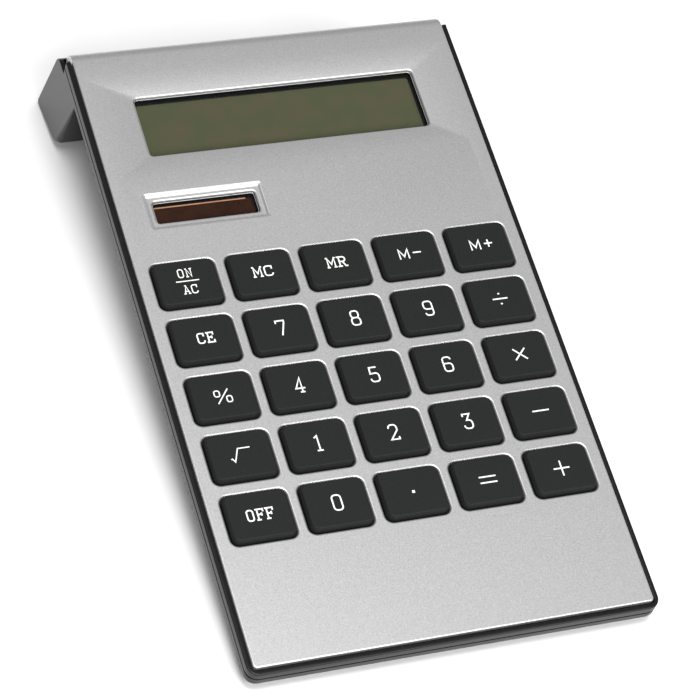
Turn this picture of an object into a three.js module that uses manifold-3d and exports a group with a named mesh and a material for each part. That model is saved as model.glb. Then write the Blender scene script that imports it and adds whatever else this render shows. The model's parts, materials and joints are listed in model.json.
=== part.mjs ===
// A slim desk calculator: a silver face plate with twenty-five keys, a display and a solar window,
// in a black case whose rear end turns down into a block foot that tips the whole slab forward.
//
// Millimetres, +Z up.  The pieces are laid out in the slab's own frame: x to the right across the keys,
// y towards the display, z out of the face plate, with z = 0 on the plate's top and the origin at the
// middle key.  The slab group then tips that frame onto the desk, whose surface is z = 0 of the part.
import * as THREE from 'three';
import { mergeVertices } from 'three/addons/utils/BufferGeometryUtils.js';
import Module from 'manifold-3d';

const wasm = await Module();
wasm.setup();

// ---- driving dimensions ------------------------------------------------------------------------
const GAP = 0.3;                    // clearance between pieces that touch
const DESK_TILT = 7.7;              // degrees that the slab rises towards the display
const DESK_DROP = 18.1;             // desk surface below the middle of the keys
const REAR_SHIFT = 23.41;           // puts the origin under the middle of the length

const PLATE_WIDTH = 101.4;
const PLATE_FRONT = -71;
const PLATE_THICKNESS = 1.4;
const PLATE_CORNER = 1;
const ROLL_RADIUS = 4.2;            // the plate's rear edge rolls down on this radius
const ROLL_CENTRE = 102.8;
const SKIRT_BOTTOM = -6.9;

const CASE_WIDTH = 104.4;
const CASE_FRONT = -72.7;
const CASE_CORNER = 3;
const WALL = 1.2;
const RIM_TOP = -0.5;
const FRAME_REAR = ROLL_CENTRE + 0.4;
const PARTING_TOP = -2.6;           // lower edge of the middle frame
const PARTING_BOTTOM = -3.1;        // upper edge of the bottom case
const BEVEL_TOP = -4.5;             // the case turns in under itself from here
const BEVEL_INSET = 2.6;
const UNDERSIDE = -8.4;
const FLOOR_THICKNESS = 1.3;
const FLOOR_TOP = UNDERSIDE + FLOOR_THICKNESS;
const LEDGE_TOP = -PLATE_THICKNESS - GAP;

const FOOT_LEAN = 13.2;             // degrees that the foot leans back from the plate's normal
const FOOT_DEPTH = 18.4;             // along the sole
const FOOT_HEEL = [115.7, -33.6];   // y, z of its rear lower edge
const FOOT_TOE_RADIUS = 4;
const FOOT_HEEL_RADIUS = 0.8;
const REAR_TOP = -5.2;              // the foot's rear wall ends here, behind the rolled plate
const REAR_TOP_RADIUS = 3.4;

const KEY_COLUMNS = 5;
const KEY_ROWS = 5;
const KEY_PITCH = [19.4, 16.5];
const KEY_HOLE = [16.8, 13.5];
const KEY_HOLE_CORNER = 2;
const KEY_CAP = [16, 12.7];
const KEY_CROWN = [15.3, 12];
const KEY_HEIGHT = 1.3;
const KEY_EDGE = 0.4;
const KEY_FLANGE = [17.2, 14.4];
const KEY_FLANGE_THICKNESS = 0.7;
const KEY_STEM = 5;
const KEY_BOTTOM = -3.2;

const RECESS = { x: [-46.6, 46.6], y: [66.2, 95.15], depth: 0.6 };
const DISPLAY = { x: [-38, 38], y: [72, 90], corner: 1.2 };
const WINDOW_MARGIN = 2;
const WINDOW_TOP = LEDGE_TOP;
const WINDOW_THICKNESS = 0.8;
const LCD_TOP = WINDOW_TOP - WINDOW_THICKNESS - GAP;
const LCD_THICKNESS = 1.5;

const SOLAR_CENTRE = [-27.7, 55.2];
const SOLAR_OPENING = [27.2, 6.6];
const SOLAR_RECESS = [31.3, 10.85];
const SOLAR_RECESS_DEPTH = 0.7;
const SOLAR_RECESS_WALL = 1.1;      // how far its sloping wall reaches inwards
const SOLAR_CELL_THICKNESS = 0.9;

const BOARD = { x: [-43, 43], y: [-46, 72], top: -5.6, thickness: 1.2 };
const MAT = { x: [-45, 45], y: [-41, 41], top: -4.7, thickness: 0.6 };
const DOME_HEIGHT = 0.3;
const CELL = { centre: [24, 55], radius: 5.8, top: -3.7, height: 3.1 };
const CONTACT_THICKNESS = 0.3;
const DOOR_SIZE = 17;
const DOOR_CORNER = 1.5;

const SCREW_PLACES = {
  front_left: [-46.6, -62], front_right: [46.6, -62], rear_left: [-46.6, 63], rear_right: [46.6, 63],
};
const SCREW_HEAD_RADIUS = 2.3;
const SCREW_SHANK_RADIUS = 1;
const BOSS_RADIUS = 2.5;
const COUNTERBORE_DEPTH = 1.2;
const SCREW_PAD_TOP = -6.3;

const PAD_SIZE = [12, 6];
const PAD_SETBACK = 38;             // the pads' distance from the middle, left and right
const FRONT_PAD_Y = -62;
const REAR_PAD_Y = 109;

// ---- materials ---------------------------------------------------------------------------------
function finish(color, roughness, metalness = 0) {
  return new THREE.MeshStandardMaterial({ color, roughness, metalness });
}

const silverPaint = finish(0xc4c5c6, 0.42, 0.55);
const blackCase = finish(0x2b2c2c, 0.55);
const keyRubber = finish(0x343536, 0.7);
const clearAcrylic = finish(0xdfe4e0, 0.08);
const lcdGlass = finish(0x5f614c, 0.2);
const solarFilm = finish(0x3b261c, 0.15);
const boardGreen = finish(0x2f6b45, 0.5);
const chipEpoxy = finish(0x151515, 0.4);
const greyRubber = finish(0x8d8f90, 0.8);
const footRubber = finish(0x1c1c1c, 0.85);
const steel = finish(0xb8babd, 0.3, 1);
const brightNickel = finish(0xc8c6bd, 0.25, 1);
const redWire = finish(0xa02820, 0.5);
const blackWire = finish(0x181818, 0.5);

// ---- solids ------------------------------------------------------------------------------------
function solid(geometry) {
  const bare = geometry.index ? geometry.toNonIndexed() : geometry.clone();
  for (const name of Object.keys(bare.attributes)) {
    if (name !== 'position') bare.deleteAttribute(name);
  }
  const merged = mergeVertices(bare, 1e-4);
  return new wasm.Manifold(new wasm.Mesh({
    numProp: 3,
    vertProperties: new Float32Array(merged.attributes.position.array),
    triVerts: new Uint32Array(merged.index.array),
  }));
}

function geometryOf(body) {
  const mesh = body.getMesh();
  const geometry = new THREE.BufferGeometry();
  geometry.setAttribute('position', new THREE.BufferAttribute(new Float32Array(mesh.vertProperties), 3));
  geometry.setIndex(new THREE.BufferAttribute(new Uint32Array(mesh.triVerts), 1));
  geometry.computeVertexNormals();
  return geometry;
}

// A rectangle with round corners, counter-clockwise, as [x, y] points.
function roundedRectangle([width, height], radius, [cx, cy] = [0, 0], steps = 4) {
  const points = [];
  for (let corner = 0; corner < 4; corner++) {
    const sx = corner === 0 || corner === 3 ? 1 : -1;
    const sy = corner < 2 ? 1 : -1;
    for (let step = 0; step <= steps; step++) {
      const angle = (corner + step / steps) * Math.PI / 2;
      points.push([cx + sx * (width / 2 - radius) + radius * Math.cos(angle),
        cy + sy * (height / 2 - radius) + radius * Math.sin(angle)]);
    }
  }
  return points;
}

function circle(radius, [cx, cy], steps = 20) {
  return Array.from({ length: steps }, (_, k) => {
    const angle = 2 * Math.PI * k / steps;
    return [cx + radius * Math.cos(angle), cy + radius * Math.sin(angle)];
  });
}

// Rounds a polygon's corners: each corner is [u, v, radius], and the rounds are arcs of a few steps.
function filleted(corners, steps = 5) {
  const points = [];
  corners.forEach(([u, v, radius = 0], k) => {
    const here = new THREE.Vector2(u, v);
    const before = new THREE.Vector2(...corners.at(k - 1)).sub(here).normalize();
    const after = new THREE.Vector2(...corners[(k + 1) % corners.length]).sub(here).normalize();
    if (!radius) {
      points.push([u, v]);
      return;
    }
    const half = Math.acos(before.dot(after)) / 2;
    const centre = before.clone().add(after).normalize().multiplyScalar(radius / Math.sin(half)).add(here);
    const start = before.clone().multiplyScalar(radius / Math.tan(half)).add(here).sub(centre);
    const end = after.clone().multiplyScalar(radius / Math.tan(half)).add(here).sub(centre);
    const sweep = Math.atan2(start.cross(end), start.dot(end));
    for (let step = 0; step <= steps; step++) {
      const turned = start.clone().rotateAround(new THREE.Vector2(), sweep * step / steps);
      points.push([centre.x + turned.x, centre.y + turned.y]);
    }
  });
  return points;
}

function shapeOf(points) {
  return new THREE.Shape(points.map(([u, v]) => new THREE.Vector2(u, v)));
}

// A prism that stands on an outline in x and y, from low to high.
function upright(points, low, high) {
  const geometry = new THREE.ExtrudeGeometry(shapeOf(points), { depth: high - low, bevelEnabled: false });
  return geometry.translate(0, 0, low);
}

// A prism across the slab, from left to right, of a side view given as [y, z] points.
function across(points, left, right) {
  const geometry = new THREE.ExtrudeGeometry(shapeOf(points), { depth: right - left, bevelEnabled: false });
  const sideways = new THREE.Matrix4().makeBasis(
    new THREE.Vector3(0, 1, 0), new THREE.Vector3(0, 0, 1), new THREE.Vector3(1, 0, 0));
  return geometry.applyMatrix4(sideways).translate(left, 0, 0);
}

// A stack of convex outlines with equal numbers of points, joined by straight sides.
function stack(levels) {
  const count = levels[0].points.length;
  const positions = levels.flatMap(({ z, points }) => points.flatMap(([x, y]) => [x, y, z]));
  const triangles = [];
  for (let level = 0; level + 1 < levels.length; level++) {
    for (let k = 0; k < count; k++) {
      const next = (k + 1) % count;
      const [a, b] = [level * count + k, level * count + next];
      triangles.push(a, b, b + count, a, b + count, a + count);
    }
  }
  const last = (levels.length - 1) * count;
  for (let k = 1; k + 1 < count; k++) triangles.push(0, k + 1, k, last, last + k, last + k + 1);
  const geometry = new THREE.BufferGeometry();
  geometry.setAttribute('position', new THREE.Float32BufferAttribute(positions, 3));
  geometry.setIndex(triangles);
  geometry.computeVertexNormals();
  return geometry;
}

function slabBox([x0, x1], [y0, y1], [z0, z1]) {
  const box = new THREE.BoxGeometry(x1 - x0, y1 - y0, z1 - z0);
  return box.translate((x0 + x1) / 2, (y0 + y1) / 2, (z0 + z1) / 2);
}

const middle = ([low, high]) => (low + high) / 2;
const span = ([low, high]) => high - low;
const grown = (range, margin) => [range[0] - margin, range[1] + margin];

function keyCentre(column, row) {
  return [(column - (KEY_COLUMNS - 1) / 2) * KEY_PITCH[0], ((KEY_ROWS - 1) / 2 - row) * KEY_PITCH[1]];
}

function everyKey(visit) {
  for (let row = 0; row < KEY_ROWS; row++) {
    for (let column = 0; column < KEY_COLUMNS; column++) visit(column, row);
  }
}

// ---- the shell ---------------------------------------------------------------------------------
// The plate's side view: a flat sheet whose rear edge rolls down into a short skirt.
function plateSide() {
  const inner = ROLL_RADIUS - PLATE_THICKNESS;
  const points = [[PLATE_FRONT, -PLATE_THICKNESS], [ROLL_CENTRE, -PLATE_THICKNESS]];
  const steps = 12;
  for (let step = 1; step <= steps; step++) {
    const angle = Math.PI / 2 * (1 - step / steps);
    points.push([ROLL_CENTRE + inner * Math.cos(angle), -ROLL_RADIUS + inner * Math.sin(angle)]);
  }
  points.push([ROLL_CENTRE + inner, SKIRT_BOTTOM], [ROLL_CENTRE + ROLL_RADIUS, SKIRT_BOTTOM]);
  for (let step = 0; step <= steps; step++) {
    const angle = Math.PI / 2 * step / steps;
    points.push([ROLL_CENTRE + ROLL_RADIUS * Math.cos(angle), -ROLL_RADIUS + ROLL_RADIUS * Math.sin(angle)]);
  }
  points.push([PLATE_FRONT, 0]);
  return points;
}

// A shallow pan whose four sides slope from the recess's outline down to the display opening.
function recessCutter() {
  const above = 0.2;
  const outer = [span(RECESS.x), span(RECESS.y)];
  const inner = [span(DISPLAY.x), span(DISPLAY.y)];
  const outerCentre = [middle(RECESS.x), middle(RECESS.y)];
  const innerCentre = [middle(DISPLAY.x), middle(DISPLAY.y)];
  const rise = above / RECESS.depth;
  const lifted = outer.map((size, k) => size + rise * (size - inner[k]));
  const liftedCentre = outerCentre.map((place, k) => place + rise * (place - innerCentre[k]));
  return stack([
    { z: -RECESS.depth, points: roundedRectangle(inner, 0.05, innerCentre, 1) },
    { z: above, points: roundedRectangle(lifted, 0.05, liftedCentre, 1) },
  ]);
}

// A shallow tray round the solar opening, with a flat floor and sloping walls.
function solarCutter() {
  const above = 0.2;
  const wallRun = SOLAR_RECESS_WALL / SOLAR_RECESS_DEPTH;
  const floor = SOLAR_RECESS.map(size => size - 2 * SOLAR_RECESS_WALL);
  const lifted = SOLAR_RECESS.map(size => size + 2 * above * wallRun);
  return stack([
    { z: -SOLAR_RECESS_DEPTH, points: roundedRectangle(floor, 0.5, SOLAR_CENTRE) },
    { z: above, points: roundedRectangle(lifted, 0.8, SOLAR_CENTRE) },
  ]);
}

function facePlate() {
  const half = PLATE_WIDTH / 2;
  const length = ROLL_CENTRE + ROLL_RADIUS - PLATE_FRONT;
  const outlineEnd = 10;
  const outline = roundedRectangle([PLATE_WIDTH, length + outlineEnd], PLATE_CORNER,
    [0, PLATE_FRONT + (length + outlineEnd) / 2]);
  let plate = solid(across(plateSide(), -half, half)).intersect(solid(upright(outline, -20, 20)));
  plate = plate.subtract(solid(recessCutter()));
  const opening = roundedRectangle([span(DISPLAY.x), span(DISPLAY.y)], DISPLAY.corner,
    [middle(DISPLAY.x), middle(DISPLAY.y)], 3);
  plate = plate.subtract(solid(upright(opening, -3, 1)));
  const solarOpening = roundedRectangle(SOLAR_OPENING, 1, SOLAR_CENTRE);
  plate = plate.subtract(solid(solarCutter())).subtract(solid(upright(solarOpening, -3, 1)));
  everyKey((column, row) => {
    const hole = roundedRectangle(KEY_HOLE, KEY_HOLE_CORNER, keyCentre(column, row), 3);
    plate = plate.subtract(solid(upright(hole, -3, 1)));
  });
  return geometryOf(plate);
}

// The black rim round the plate, with a ledge below that carries it and four bosses for the case screws.
function middleFrame() {
  const length = FRAME_REAR - CASE_FRONT;
  const overrun = 6;
  const centre = [0, CASE_FRONT + (length + overrun) / 2];
  const outer = roundedRectangle([CASE_WIDTH, length + overrun], CASE_CORNER, centre);
  const softened = roundedRectangle([CASE_WIDTH - 0.8, length + overrun - 0.8], CASE_CORNER - 0.4, centre);
  let frame = solid(stack([{ z: PARTING_TOP, points: outer }, { z: RIM_TOP - 0.4, points: outer },
    { z: RIM_TOP, points: softened }]));
  const well = roundedRectangle([PLATE_WIDTH + 2 * GAP, length + 2 * overrun], PLATE_CORNER + GAP,
    [0, PLATE_FRONT - GAP + (length + 2 * overrun) / 2]);
  frame = frame.subtract(solid(upright(well, LEDGE_TOP, 1)));
  const ledge = 2.4;
  const crossbar = FRAME_REAR - 4;
  frame = frame.subtract(solid(slabBox([-PLATE_WIDTH / 2 + ledge, PLATE_WIDTH / 2 - ledge],
    [PLATE_FRONT + ledge, crossbar], [-5, 1])));
  frame = frame.subtract(solid(slabBox([-60, 60], [FRAME_REAR, FRAME_REAR + 20], [-5, 1])));
  for (const place of Object.values(SCREW_PLACES)) {
    frame = frame.add(solid(upright(circle(BOSS_RADIUS, place), SCREW_PAD_TOP + GAP, LEDGE_TOP)));
  }
  for (const place of Object.values(SCREW_PLACES)) {
    const bore = circle(SCREW_SHANK_RADIUS + GAP, place, 12);
    frame = frame.subtract(solid(upright(bore, SCREW_PAD_TOP - 1, LEDGE_TOP - 0.6)));
  }
  return geometryOf(frame);
}

// A point of the foot: along its depth from the rear face, and up its leaning height from the heel.
function footPoint(depth, height) {
  const lean = THREE.MathUtils.degToRad(FOOT_LEAN);
  return [FOOT_HEEL[0] - depth * Math.cos(lean) - height * Math.sin(lean),
    FOOT_HEEL[1] - depth * -Math.sin(lean) + height * Math.cos(lean)];
}

// Where the foot's face at a given depth crosses a level of the slab.
function footAt(depth, level) {
  const lean = THREE.MathUtils.degToRad(FOOT_LEAN);
  const [, start] = footPoint(depth, 0);
  return [footPoint(depth, (level - start) / Math.cos(lean))[0], level];
}

function footOutside() {
  return filleted([
    [...footPoint(0, 0), FOOT_HEEL_RADIUS],
    [...footAt(0, REAR_TOP), REAR_TOP_RADIUS],
    [FRAME_REAR + GAP, REAR_TOP],
    [FRAME_REAR + GAP, PARTING_BOTTOM],
    footAt(FOOT_DEPTH, PARTING_BOTTOM),
    [...footPoint(FOOT_DEPTH, 0), FOOT_TOE_RADIUS],
  ]);
}

function footInside() {
  return filleted([
    [...footPoint(WALL, WALL), FOOT_HEEL_RADIUS / 2],
    footAt(WALL, 5),
    [footAt(FOOT_DEPTH, FLOOR_TOP)[0] - 3, 5],
    [footAt(FOOT_DEPTH, FLOOR_TOP)[0] - 3, FLOOR_TOP],
    footAt(FOOT_DEPTH - WALL, FLOOR_TOP),
    [...footPoint(FOOT_DEPTH - WALL, WALL), FOOT_TOE_RADIUS - WALL],
  ]);
}

function bottomCase() {
  const half = CASE_WIDTH / 2;
  const rear = footAt(FOOT_DEPTH, UNDERSIDE)[0];
  const overrun = 3;
  const length = rear - CASE_FRONT + overrun;
  const centre = [0, CASE_FRONT + length / 2];
  const rim = roundedRectangle([CASE_WIDTH, length], CASE_CORNER, centre);
  const sole = roundedRectangle([CASE_WIDTH - 2 * BEVEL_INSET, length - BEVEL_INSET], CASE_CORNER / 2,
    [0, centre[1] + BEVEL_INSET / 2]);
  let body = solid(stack([{ z: UNDERSIDE, points: sole }, { z: BEVEL_TOP, points: rim },
    { z: PARTING_BOTTOM, points: rim }]));
  body = body.subtract(solid(slabBox([-60, 60], [rear + 2, rear + 20], [-20, 1])));
  body = body.add(solid(across(footOutside(), -half, half)));

  const inside = [CASE_WIDTH - 2 * WALL, length - 2 * WALL];
  const floorInside = inside.map(size => size - 2 * BEVEL_INSET);
  body = body.subtract(solid(stack([
    { z: FLOOR_TOP, points: roundedRectangle(floorInside, 1, centre) },
    { z: BEVEL_TOP, points: roundedRectangle(inside, CASE_CORNER - WALL, centre) },
    { z: 1, points: roundedRectangle(inside, CASE_CORNER - WALL, centre) },
  ])));
  body = body.subtract(solid(across(footInside(), -half + WALL, half - WALL)));

  const door = roundedRectangle([DOOR_SIZE, DOOR_SIZE], DOOR_CORNER, CELL.centre, 3);
  body = body.subtract(solid(upright(door, UNDERSIDE - 1, FLOOR_TOP + 1)));
  for (const place of Object.values(SCREW_PLACES)) {
    const counterbore = circle(SCREW_HEAD_RADIUS + GAP, place);
    const shaft = circle(SCREW_SHANK_RADIUS + GAP, place, 12);
    body = body.add(solid(upright(circle(BOSS_RADIUS + 1, place), FLOOR_TOP - 0.4, SCREW_PAD_TOP)));
    body = body.subtract(solid(upright(counterbore, UNDERSIDE - 1, UNDERSIDE + COUNTERBORE_DEPTH)));
    body = body.subtract(solid(upright(shaft, UNDERSIDE, SCREW_PAD_TOP + 1)));
  }
  return geometryOf(body);
}

// A flat door with a nail slot near its front edge.
function batteryDoor() {
  const size = DOOR_SIZE - 2 * GAP;
  const outline = roundedRectangle([size, size], DOOR_CORNER - GAP, CELL.centre, 3);
  const plate = solid(upright(outline, UNDERSIDE, FLOOR_TOP));
  const [cx, cy] = CELL.centre;
  const slotWidth = 3.5;
  const slotDepth = 0.7;
  const slotStart = cy - size / 2 + 1.5;
  const slot = slabBox([cx - slotWidth, cx + slotWidth], [slotStart, slotStart + 1.8],
    [UNDERSIDE - 1, UNDERSIDE + slotDepth]);
  return geometryOf(plate.subtract(solid(slot)));
}

function caseScrew(place) {
  const headBottom = UNDERSIDE + 0.15;
  const headTop = UNDERSIDE + COUNTERBORE_DEPTH - GAP;
  const shankTop = LEDGE_TOP - 1.2;
  const slotHalf = [0.3, 1.6];
  const slotTop = headBottom + 0.45;
  let screw = solid(stack([
    { z: headBottom, points: circle(SCREW_HEAD_RADIUS - 0.4, place, 16) },
    { z: headBottom + 0.35, points: circle(SCREW_HEAD_RADIUS, place, 16) },
    { z: headTop, points: circle(SCREW_HEAD_RADIUS, place, 16) },
  ]));
  screw = screw.add(solid(upright(circle(SCREW_SHANK_RADIUS, place, 12), headTop - 0.2, shankTop)));
  for (const [dx, dy] of [slotHalf, [slotHalf[1], slotHalf[0]]]) {
    screw = screw.subtract(solid(slabBox([place[0] - dx, place[0] + dx], [place[1] - dy, place[1] + dy],
      [headBottom - 1, slotTop])));
  }
  return geometryOf(screw);
}

// The height of the desk under a point of the slab, along the plate's normal.
function deskBelow(y) {
  const tilt = THREE.MathUtils.degToRad(DESK_TILT);
  return (-DESK_DROP - y * Math.sin(tilt)) / Math.cos(tilt);
}

// A rubber pad: it is stuck to the sloping face above it, and its underside lies level on the desk.
function rubberPad(x, y, faceAt) {
  const [width, depth] = PAD_SIZE;
  const [front, rear] = [y - depth / 2, y + depth / 2];
  return across([
    [front, deskBelow(front)], [rear, deskBelow(rear)],
    [rear, faceAt(rear) - GAP], [front, faceAt(front) - GAP],
  ], x - width / 2, x + width / 2);
}

function footSole(y) {
  return FOOT_HEEL[1] + (FOOT_HEEL[0] - y) * Math.tan(THREE.MathUtils.degToRad(FOOT_LEAN));
}

// ---- keys --------------------------------------------------------------------------------------
function keyCap() {
  const crownSide = KEY_CROWN.map(size => size - 2 * KEY_EDGE);
  const flangeBottom = LEDGE_TOP - KEY_FLANGE_THICKNESS;
  const cap = stack([
    { z: flangeBottom, points: roundedRectangle(KEY_CAP, 1.6, [0, 0], 3) },
    { z: 0, points: roundedRectangle(KEY_CAP, 1.6, [0, 0], 3) },
    { z: KEY_HEIGHT - KEY_EDGE, points: roundedRectangle(KEY_CROWN, 1.6, [0, 0], 3) },
    { z: KEY_HEIGHT, points: roundedRectangle(crownSide, 1.4, [0, 0], 3) },
  ]);
  const flange = slabBox([-KEY_FLANGE[0] / 2, KEY_FLANGE[0] / 2], [-KEY_FLANGE[1] / 2, KEY_FLANGE[1] / 2],
    [flangeBottom, LEDGE_TOP]);
  const stemSide = [-KEY_STEM / 2, KEY_STEM / 2];
  const stem = slabBox(stemSide, stemSide, [KEY_BOTTOM, flangeBottom + 0.2]);
  return geometryOf(solid(cap).add(solid(flange)).add(solid(stem)));
}

// ---- inside ------------------------------------------------------------------------------------
function displayWindow() {
  return slabBox(grown(DISPLAY.x, WINDOW_MARGIN), grown(DISPLAY.y, WINDOW_MARGIN),
    [WINDOW_TOP - WINDOW_THICKNESS, WINDOW_TOP]);
}

function lcdPanel() {
  const [front, rear] = DISPLAY.y;
  return slabBox(grown(DISPLAY.x, 1.5), [front - 3.5, rear + 1.5], [LCD_TOP - LCD_THICKNESS, LCD_TOP]);
}

function lcdConnector() {
  return slabBox(grown(DISPLAY.x, -2), [DISPLAY.y[0] - 3, DISPLAY.y[0] - 0.6],
    [BOARD.top + GAP, LCD_TOP - LCD_THICKNESS - GAP]);
}

function solarWindow() {
  const size = SOLAR_OPENING.map(side => side + 3);
  return upright(roundedRectangle(size, 1, SOLAR_CENTRE, 2), WINDOW_TOP - WINDOW_THICKNESS, WINDOW_TOP);
}

function solarCell() {
  const top = WINDOW_TOP - WINDOW_THICKNESS - GAP;
  const [cx, cy] = SOLAR_CENTRE;
  const [halfWidth, halfHeight] = SOLAR_OPENING.map(side => side / 2 + 1);
  return slabBox([cx - halfWidth, cx + halfWidth], [cy - halfHeight, cy + halfHeight],
    [top - SOLAR_CELL_THICKNESS, top]);
}

function circuitBoard() {
  const board = solid(slabBox(BOARD.x, BOARD.y, [BOARD.top - BOARD.thickness, BOARD.top]));
  const hole = upright(circle(CELL.radius + 1, CELL.centre, 24), BOARD.top - 3, BOARD.top + 1);
  return geometryOf(board.subtract(solid(hole)));
}

// The epoxy blob over the bare chip: a low dome.
function chipBlob() {
  const profile = [[0, 0], [4.2, 0], [4, 0.5], [3, 0.95], [1.6, 1.2], [0, 1.3]];
  const dome = new THREE.LatheGeometry(profile.map(([r, z]) => new THREE.Vector2(r, z)), 16);
  return dome.rotateX(Math.PI / 2).translate(2, 55, BOARD.top + GAP);
}

// One rubber sheet under all the keys, with a low dome below each.
function keypadMat() {
  let mat = solid(slabBox(MAT.x, MAT.y, [MAT.top - MAT.thickness, MAT.top]));
  everyKey((column, row) => {
    const centre = keyCentre(column, row);
    mat = mat.add(solid(stack([
      { z: MAT.top - 0.1, points: circle(3.4, centre, 8) },
      { z: MAT.top + DOME_HEIGHT, points: circle(2.4, centre, 8) },
    ])));
  });
  return geometryOf(mat);
}

function buttonCell() {
  const { radius, top, height } = CELL;
  const crimp = top - 0.4;
  return stack([
    { z: top - height, points: circle(radius, CELL.centre, 28) },
    { z: crimp, points: circle(radius, CELL.centre, 28) },
    { z: top, points: circle(radius - 1, CELL.centre, 28) },
  ]);
}

// A spring strip that bridges the cell and comes down to the board on one side.
function topContact() {
  const [cx, cy] = CELL.centre;
  const low = CELL.top + GAP;
  const halfWidth = 1.8;
  const foot = BOARD.top + GAP;
  const tip = cy - 3;
  const bend = cy + CELL.radius + 2.6;
  const toe = bend + 2;
  const sheet = CONTACT_THICKNESS;
  const profile = [
    [tip, low], [bend - sheet, low], [bend - sheet, foot], [toe, foot],
    [toe, foot + sheet], [bend, foot + sheet], [bend, low + sheet], [tip, low + sheet],
  ];
  return across(profile, cx - halfWidth, cx + halfWidth);
}

// A small spring leaf that stands on the board and leans on the cell's rim.
function sideContact() {
  const [cx, cy] = CELL.centre;
  const near = cy - CELL.radius - GAP - 1;
  const halfWidth = 2.2;
  const foot = BOARD.top + GAP;
  const tip = CELL.top - 0.4;
  const toe = near - 2.5;
  const sheet = CONTACT_THICKNESS;
  const profile = [
    [near, foot], [near, tip], [near - sheet, tip],
    [near - sheet, foot + sheet], [toe, foot + sheet], [toe, foot],
  ];
  return across(profile, cx - halfWidth, cx + halfWidth);
}

// An insulated lead along hand-placed points, of eight sides.
function lead(points) {
  const radius = 0.5;
  const curve = new THREE.CatmullRomCurve3(points.map(point => new THREE.Vector3(...point)));
  const section = new THREE.Shape().setFromPoints(
    circle(radius, [0, 0], 8).map(([u, v]) => new THREE.Vector2(u, v)));
  return new THREE.ExtrudeGeometry(section, { steps: 14, extrudePath: curve, bevelEnabled: false });
}

// ---- assembly ----------------------------------------------------------------------------------
const slab = new THREE.Group();
slab.rotation.x = THREE.MathUtils.degToRad(DESK_TILT);
slab.position.set(0, -REAR_SHIFT, DESK_DROP);

function place(name, geometry, material, position = [0, 0, 0]) {
  const mesh = new THREE.Mesh(geometry, material);
  mesh.name = name;
  mesh.position.set(...position);
  slab.add(mesh);
}

place('face_plate', facePlate(), silverPaint);
place('middle_frame', middleFrame(), blackCase);
place('bottom_case', bottomCase(), blackCase);
place('battery_door', batteryDoor(), blackCase);
for (const [corner, spot] of Object.entries(SCREW_PLACES)) {
  place(`case_screw_${corner}`, caseScrew(spot), steel);
}

for (const [side, x] of [['left', -PAD_SETBACK], ['right', PAD_SETBACK]]) {
  place(`rubber_pad_front_${side}`, rubberPad(x, FRONT_PAD_Y, () => UNDERSIDE), footRubber);
  place(`rubber_pad_rear_${side}`, rubberPad(x, REAR_PAD_Y, footSole), footRubber);
}

place('display_window', displayWindow(), clearAcrylic);
place('lcd_panel', lcdPanel(), lcdGlass);
place('lcd_connector', lcdConnector(), greyRubber);
place('solar_window', solarWindow(), clearAcrylic);
place('solar_cell', solarCell(), solarFilm);
place('circuit_board', circuitBoard(), boardGreen);
place('chip_blob', chipBlob(), chipEpoxy);
place('keypad_mat', keypadMat(), greyRubber);
place('button_cell', buttonCell(), steel);
place('cell_contact_top', topContact(), brightNickel);
place('cell_contact_side', sideContact(), brightNickel);

const LEAD_LOW = BOARD.top + GAP + 0.5;
const RED_ROUTE = [[-18, 50.2, -3.3], [-16, 48.6, -3.5], [-14, 47, LEAD_LOW], [-10, 46.4, LEAD_LOW]];
const BLACK_ROUTE = [[-37, 50.2, -3.3], [-36, 48.6, -3.5], [-34, 47, LEAD_LOW], [-30, 46.4, LEAD_LOW]];
place('solar_lead_red', lead(RED_ROUTE), redWire);
place('solar_lead_black', lead(BLACK_ROUTE), blackWire);

// Keys by their functions, row by row from the display's side.
const KEY_NAMES = [
  ['on_clear', 'memory_clear', 'memory_recall', 'memory_minus', 'memory_plus'],
  ['clear_entry', '7', '8', '9', 'divide'],
  ['percent', '4', '5', '6', 'multiply'],
  ['square_root', '1', '2', '3', 'minus'],
  ['off', '0', 'point', 'equals', 'plus'],
];
everyKey((column, row) => {
  const [x, y] = keyCentre(column, row);
  place(`key_${KEY_NAMES[row][column]}`, keyCap(), keyRubber, [x, y, 0]);
});

const calculator = new THREE.Group();
calculator.add(slab);
export default calculator;
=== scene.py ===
# %% [markdown]
# # A desk calculator, dressed over its CAD frame
# The frame gives every piece its size, its place and its motion. This lesson gives each piece the shape and
# the finish that the eye meets: the painted plate, the charcoal keys and their legends, the display, the
# black case with its leaning foot, and the light of a small studio.

# %% Load the frame
import json
import math

import bmesh
import bpy
import numpy as np
from mathutils import Matrix, Vector
from mathutils.geometry import delaunay_2d_cdt


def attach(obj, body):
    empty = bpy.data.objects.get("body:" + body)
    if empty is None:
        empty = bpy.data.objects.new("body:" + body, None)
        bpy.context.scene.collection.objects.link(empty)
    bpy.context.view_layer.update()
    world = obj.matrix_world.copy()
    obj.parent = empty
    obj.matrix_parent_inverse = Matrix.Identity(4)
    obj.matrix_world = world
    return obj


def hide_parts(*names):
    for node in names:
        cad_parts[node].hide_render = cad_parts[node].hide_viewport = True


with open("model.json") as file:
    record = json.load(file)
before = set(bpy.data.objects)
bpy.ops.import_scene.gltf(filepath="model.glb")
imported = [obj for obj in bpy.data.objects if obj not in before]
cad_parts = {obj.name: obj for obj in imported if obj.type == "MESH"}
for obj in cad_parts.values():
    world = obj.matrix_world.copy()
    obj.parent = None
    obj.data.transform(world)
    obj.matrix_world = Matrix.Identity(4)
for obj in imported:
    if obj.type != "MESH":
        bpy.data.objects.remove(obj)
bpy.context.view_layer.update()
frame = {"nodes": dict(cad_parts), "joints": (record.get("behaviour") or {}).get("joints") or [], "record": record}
MM = 0.001

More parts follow.
